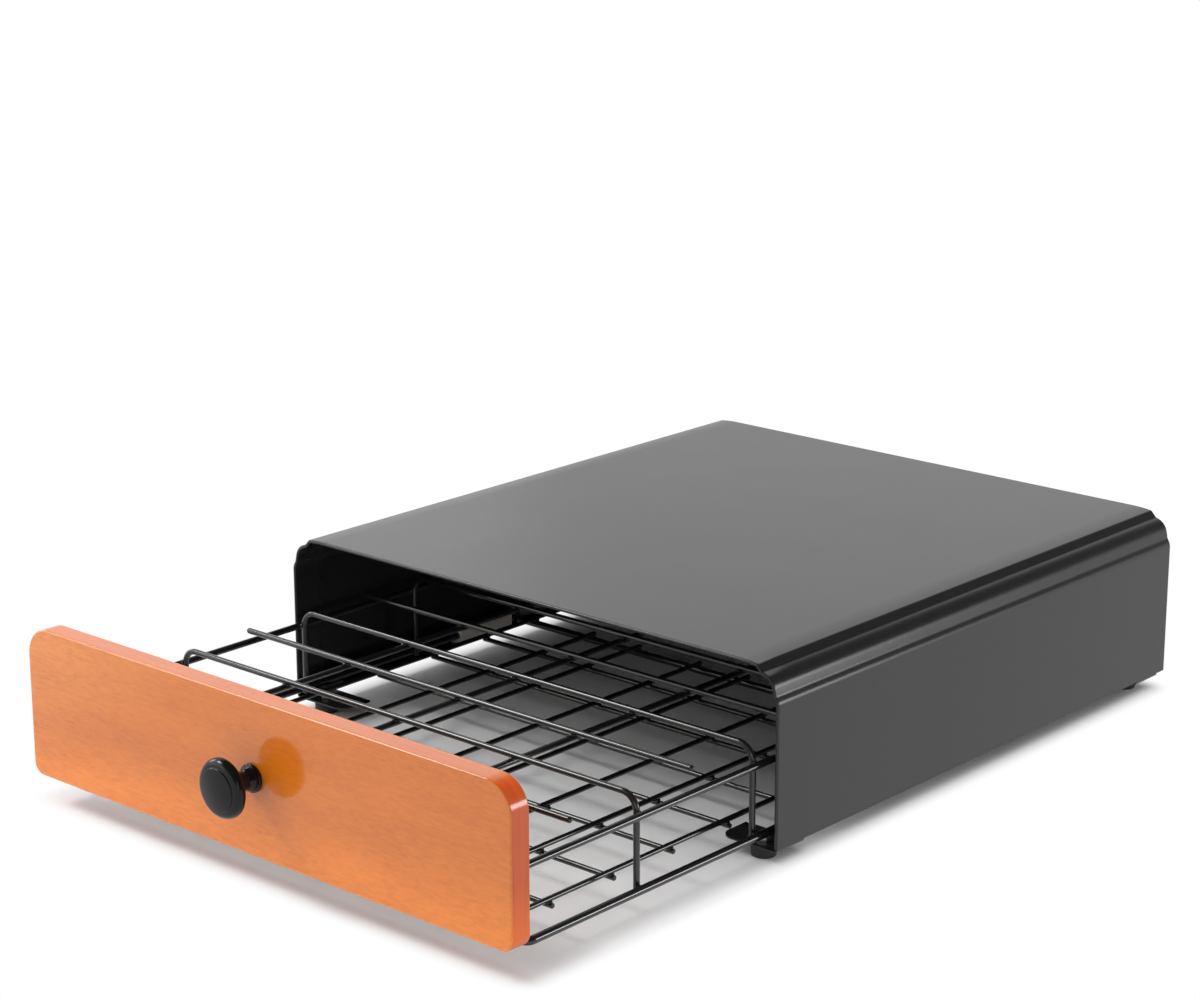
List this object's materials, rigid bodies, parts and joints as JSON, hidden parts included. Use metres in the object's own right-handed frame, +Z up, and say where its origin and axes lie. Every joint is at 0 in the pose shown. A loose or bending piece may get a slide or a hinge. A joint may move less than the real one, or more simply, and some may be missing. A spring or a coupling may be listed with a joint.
{
  "type": "coffee pod drawer",
  "caption": "Low black sheet-steel housing on rubber feet with a sliding wire basket drawer, an orange lacquered wooden front and a round black knob; holds coffee discs and a machine on top.",
  "frame": {"origin": "on the floor, in the middle of the whole drawer's box as it stands partly open", "axes": "+Z up, -Y towards the front board and its knob, +X to the right as seen from the front"},
  "size_m": [0.32, 0.5282, 0.0955],
  "materials": {
    "black_sheet": "semi-gloss black powder coat with a fine orange peel",
    "black_wire": "glossy black coated wire",
    "lacquered_wood": "orange cherry stain under clear gloss lacquer, fine flecked grain across the board",
    "black_knob": "satin black",
    "rubber": "matt black rubber",
    "black_plastic": "matt black moulded plastic",
    "white_plastic": "natural white moulded plastic",
    "zinc": "bright zinc-plated steel"
  },
  "bodies": {
    "housing": {"housing_shell": "black_sheet", "rear_panel": "black_sheet", "rear_bumpers": "rubber", "runner_left": "black_sheet", "runner_right": "black_sheet", "runner_guide_left": "black_plastic", "runner_guide_right": "black_plastic", "foot_front_left": "rubber", "foot_front_right": "rubber", "foot_rear_left": "rubber", "foot_rear_right": "rubber", "foot_screws": "zinc", "foot_nuts": "zinc"},
    "drawer": {"front_board": "lacquered_wood", "knob": "black_knob", "knob_screw": "zinc", "knob_washer": "zinc", "mounting_plate_left": "black_wire", "mounting_plate_right": "black_wire", "board_screws": "zinc", "bottom_frame": "black_wire", "upper_rail_left": "black_wire", "upper_rail_right": "black_wire", "front_hoop": "black_wire", "side_hoop_1": "black_wire", "side_hoop_2": "black_wire", "side_hoop_3": "black_wire", "rear_hoop": "black_wire", "middle_wire_1": "black_wire", "middle_wire_2": "black_wire", "middle_wire_3": "black_wire", "middle_wire_4": "black_wire", "divider_left": "black_wire", "divider_middle": "black_wire", "divider_right": "black_wire", "floor_rail_1": "black_wire", "floor_rail_2": "black_wire", "floor_rail_3": "black_wire", "floor_rail_4": "black_wire", "floor_rail_5": "black_wire", "floor_rail_6": "black_wire", "floor_rail_7": "black_wire", "floor_rail_8": "black_wire", "floor_wire_1": "black_wire", "floor_wire_2": "black_wire", "floor_wire_3": "black_wire", "floor_wire_4": "black_wire", "floor_wire_5": "black_wire", "floor_wire_6": "black_wire", "floor_wire_7": "black_wire", "glide_left": "white_plastic", "glide_right": "white_plastic"}
  },
  "joints": [
    {"name": "drawer_slide", "type": "slide", "parent": "housing", "child": "drawer", "axis": [0, 1, 0], "range_m": [-0.08715, 0.17175]}
  ]
}
